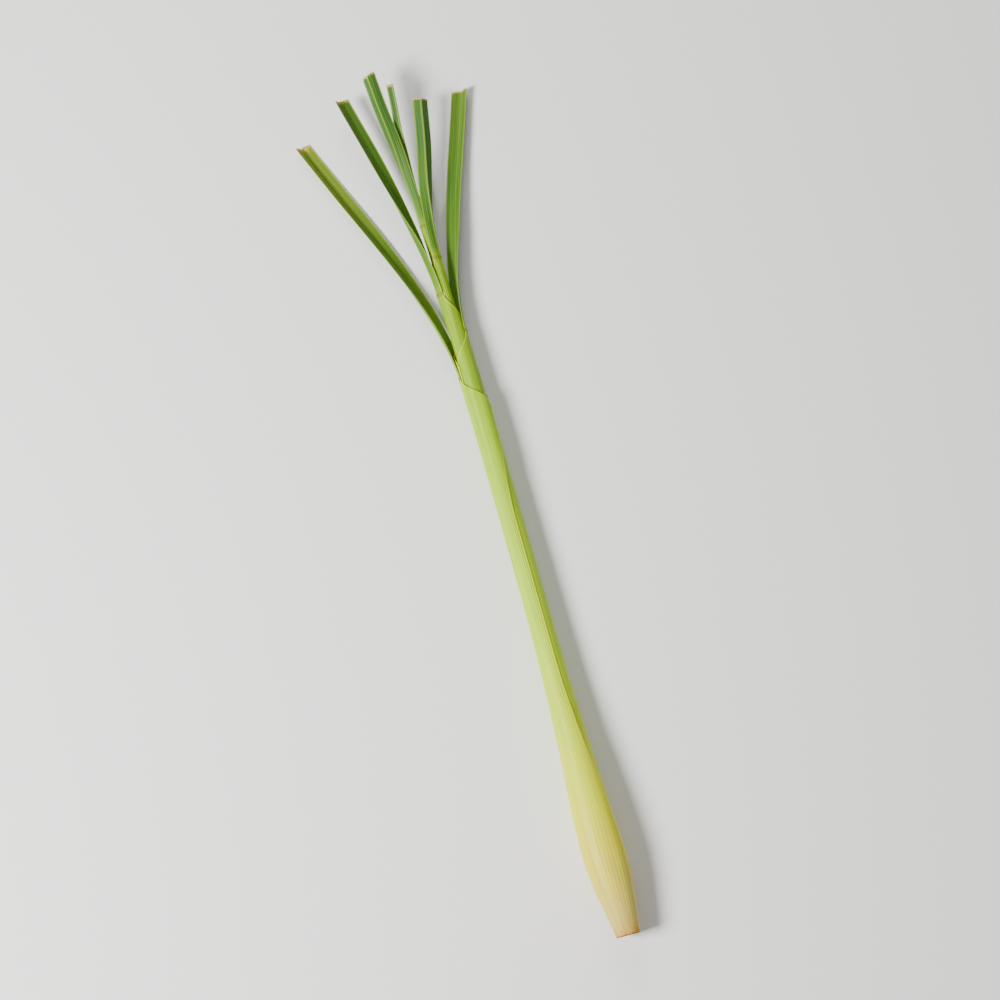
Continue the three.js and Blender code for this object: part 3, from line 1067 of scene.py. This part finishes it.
# %% The three finishes
OUTER_BLADE = [
    (0, srgb(140, 168, 18)),
    (25, srgb(108, 142, 22)),
    (80, srgb(90, 124, 24)),
    (130, srgb(122, 140, 28)),
]
MIDDLE_BLADE = [
    (0, srgb(118, 154, 20)),
    (25, srgb(76, 118, 26)),
    (80, srgb(58, 102, 28)),
    (120, srgb(86, 118, 32)),
]
INNER_BLADE = [
    (0, srgb(100, 144, 30)),
    (20, srgb(60, 108, 34)),
    (60, srgb(44, 92, 38)),
    (100, srgb(66, 106, 42)),
]
outer_finish = leaf_finish("outer leaf", OUTER_BLADE, sheath_tint=0.15, seed=1.0)
middle_finish = leaf_finish("middle leaf", MIDDLE_BLADE, sheath_tint=0.5, seed=2.0)
inner_finish = leaf_finish("inner leaf", INNER_BLADE, sheath_tint=0.55, seed=3.0)
FINISHES = [outer_finish, middle_finish, middle_finish, inner_finish, inner_finish, inner_finish]
print("finishes:", [material.name for material in bpy.data.materials if material.users])

# %% [markdown]
# Now the six leaves. The outermost leaf shows all of its length, so it gets the most rows. The others
# are hidden up to the mouth of the leaf before, and a few rows are enough there. Ribs are as far apart
# on every leaf, so an inner leaf has fewer of them.

# %% Make the leaves
RIBS_ROUND_OUTER = 36
COLUMNS_IN_A_RIB = 5
RIB_HEIGHT = 0.075
SEED_STEP = 3.7


def make_leaf(layer):
    leaf = LEAVES[layer]
    name = f"leaf_{layer + 1}"
    sheath = [sheath_row(leaf, layer, station) for station in sheath_stations(leaf, layer)]
    lines = [[*sheath, *blade_rows(leaf, layer)]]
    if layer < len(LEAVES) - 1:
        lines.append(ligule_rows(leaf, layer))
    guide = guide_line(f"{name}_midrib", lines)
    ribs = round(RIBS_ROUND_OUTER * (1 - layer * LAYER_SHARE))
    grow(
        guide,
        rolled_leaf,
        Columns=ribs * COLUMNS_IN_A_RIB,
        Ribs=ribs,
        Cut_slant=leaf.slant,
        Notch_depth=leaf.notch * MM,
        Notch_place=leaf.notch_at,
        Ragged_depth=leaf.ragged * MM,
        Seed=layer * SEED_STEP,
    )
    grow(guide, lengthwise_ribs, Rib_height=RIB_HEIGHT * MM, Finish=FINISHES[layer])
    piece = plain_piece(guide, f"{name}_grown", FINISHES[layer])
    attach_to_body(piece, "root")
    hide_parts(name)


for layer in range(len(LEAVES)):
    make_leaf(layer)

# %% [markdown]
# The stem shows only at the cut foot, as pale flesh with darker rings and dots, the cut ends of its
# bundles. A row of rings joined by faces is the plain way to make it. The cut face is a few rings that
# rise and fall by a hair.

# %% The stem in the foot
STEM_SIDES = 72
LEDGES = [(leaf.attach, layer) for layer, leaf in enumerate(LEAVES) if leaf.attach]
LEDGE_ROWS = 8
RIM = 0.3  # where the stem's side starts
CUT_RINGS = 14
CUT_RELIEF = 0.12
CUT_LUMPS = 1.7  # in a millimetre
TOP_SHARE = 0.5  # of the radius, where the top starts to sink


def stem_ring(station, radius, relief=0.0):
    tangent = axis_tangent(station)
    centre = axis_point(station)
    points = []
    for i in range(STEM_SIDES):
        out = radial(-i * math.tau / STEM_SIDES, tangent)
        rough = noise.noise(out * radius * CUT_LUMPS) * relief
        points.append(centre + out * radius - tangent * rough)
    return points


def stem_rings():
    core = layer_radius(LEDGES[0][1], 0)
    rings = [stem_ring(0, core * i / CUT_RINGS, CUT_RELIEF) for i in range(1, CUT_RINGS + 1)]
    start = RIM
    for attach, layer in LEDGES:
        stations = [lerp(start, attach, i / LEDGE_ROWS) for i in range(LEDGE_ROWS + 1)]
        rings += [stem_ring(station, layer_radius(layer, station)) for station in stations]
        start = attach
    top, layer = LEDGES[-1]
    rings.append(stem_ring(top, layer_radius(layer, top) * TOP_SHARE))
    return rings


def make_stem():
    rings = stem_rings()
    points = [p * MM for ring in rings for p in ring]
    first_centre, last_centre = axis_point(0) * MM, axis_point(LEDGES[-1][0]) * MM
    points += [first_centre, last_centre]
    n = STEM_SIDES
    faces = []
    for row in range(len(rings) - 1):
        for i in range(n):
            a, b = row * n + i, row * n + (i + 1) % n
            faces.append((a, b, b + n, a + n))
    top = (len(rings) - 1) * n
    for i in range(n):
        faces.append((len(points) - 2, (i + 1) % n, i))
        faces.append((len(points) - 1, top + i, top + (i + 1) % n))
    mesh = bpy.data.meshes.new("stem_base_grown")
    mesh.from_pydata(points, [], faces)
    mesh.shade_smooth()
    face_outwards(mesh)
    print("stem_base_grown", len(mesh.loop_triangles), "triangles")
    return new_object("stem_base_grown", mesh)


# %% Finish of the cut flesh
RING_SPACING = 0.62
RING_STRENGTH = 0.4
BUNDLES = 1500.0  # in a metre
BUNDLE_SCATTER = 0.9
BUNDLE_EDGE = (0.18, 0.34)
BUNDLE_STRENGTH = 0.6
PATCHES = 420.0  # in a metre
PATCH_DETAIL = 3.0
PATCH_EDGE = (0.4, 0.75)
PATCH_STRENGTH = 0.5
FLESH, RING_BROWN = srgb(208, 180, 108), srgb(182, 142, 70)
BUNDLE_BROWN, PATCH_BROWN = srgb(142, 96, 44), srgb(164, 112, 52)
SMOOTHER_LEVELS, FLESH_ROUGHNESS = (0.3, 0.7), (0.62, 0.85)
RING_RELIEF = 0.5
FLESH_RELIEF = 0.1
FLESH_RELIEF_STRENGTH = 0.5


def flesh_finish():
    s = Shader("stem flesh")
    place = s.node("ShaderNodeTexCoord").outputs["Object"]
    apart = s.split(s.vector("SUBTRACT", place, tuple(axis_point(0) * MM)))
    across = s.combine(apart[0], 0.0, apart[2])
    away = s.node("ShaderNodeVectorMath", (across,), operation="LENGTH").outputs["Value"]
    rings = s.cycle(s.math("DIVIDE", away, RING_SPACING * MM))
    named = {"Vector": place, "Scale": BUNDLES, "Randomness": BUNDLE_SCATTER}
    bundles = s.fall(s.node("ShaderNodeTexVoronoi", named=named).outputs["Distance"], BUNDLE_EDGE)
    patches = s.noise(place, PATCHES, PATCH_DETAIL)
    colour = s.mix(s.multiply(rings, RING_STRENGTH), FLESH, RING_BROWN)
    colour = s.mix(s.multiply(bundles, BUNDLE_STRENGTH), colour, BUNDLE_BROWN)
    colour = s.mix(s.ramp(patches, *PATCH_EDGE, 0.0, PATCH_STRENGTH), colour, PATCH_BROWN)
    s.set(Base_Color=colour, Roughness=s.ramp(patches, *SMOOTHER_LEVELS, *FLESH_ROUGHNESS))
    relief = s.add(bundles, s.multiply(rings, RING_RELIEF))
    s.bump(relief, FLESH_RELIEF_STRENGTH, FLESH_RELIEF * MM)
    return s.material


stem_piece = make_stem()
flesh = flesh_finish()
stem_piece.data.materials.append(flesh)
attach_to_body(stem_piece, "root")
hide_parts("stem_base")

# %% [markdown]
# The scene: a plain pale floor and soft studio light. The stalk is cut, so it lies down and the camera
# looks down on it, a little from the foot's side. It stands so that the stalk leans to the left from
# its foot, and a long lens keeps the blades from spreading more than they do.

# %% Floor and light
FLOOR_HALF = 6.0
FLOOR_COLOUR = srgb(242, 241, 238)
FLOOR_ROUGHNESS = 0.8
LIT_PLACE = Vector((0, 0.16, 0.01))
WORLD_STRENGTH = 0.22
LAMPS = [
    dict(name="key light", place=(-0.85, 0.05, 0.85), size=0.45, power=32),
    dict(name="fill light", place=(0.9, -0.2, 0.9), size=1.1, power=1.5),
    dict(name="back light", place=(0.1, 1.2, 0.7), size=0.7, power=6),
]


def make_floor():
    mesh = bpy.data.meshes.new("floor")
    h = FLOOR_HALF
    mesh.from_pydata([(-h, -h, 0), (h, -h, 0), (h, h, 0), (-h, h, 0)], [], [(0, 1, 2, 3)])
    s = Shader("pale floor")
    s.set(Base_Color=FLOOR_COLOUR, Roughness=FLOOR_ROUGHNESS)
    mesh.materials.append(s.material)
    floor = new_object("floor", mesh)


def make_lamp(name, place, size, power):
    data = bpy.data.lights.new(name, "AREA")
    data.shape = "DISK"
    data.size = size
    data.energy = power
    aim(new_object(name, data), place, LIT_PLACE - Vector(place))


def make_world():
    world = bpy.data.worlds.new("studio")
    bpy.context.scene.world = world
    world.use_nodes = True
    background = world.node_tree.nodes["Background"]
    background.inputs["Color"].default_value = (1.0, 1.0, 1.0, 1.0)
    background.inputs["Strength"].default_value = WORLD_STRENGTH


make_floor()
make_world()
for lamp in LAMPS:
    make_lamp(**lamp)
print("lamps:", [lamp["name"] for lamp in LAMPS])

# %% Camera
LEAN = 15.7
ELEVATION = 79
LENS = 100
CAMERA_DISTANCE = 1.24
AIM = Vector((-1, 161, 6))
NEAREST, FURTHEST = 0.05, 50


def make_camera():
    data = bpy.data.cameras.new("camera")
    data.lens = LENS
    data.dof.use_dof = False
    data.clip_start = NEAREST
    data.clip_end = FURTHEST
    lean, up = math.radians(LEAN), math.radians(ELEVATION)
    away = Vector((-math.sin(lean) * math.cos(up), -math.cos(lean) * math.cos(up), math.sin(up)))
    camera = new_object("camera", data)
    aim(camera, AIM * MM + away * CAMERA_DISTANCE, -away)
    bpy.context.scene.camera = camera


make_camera()
print("camera distance:", CAMERA_DISTANCE, "m")
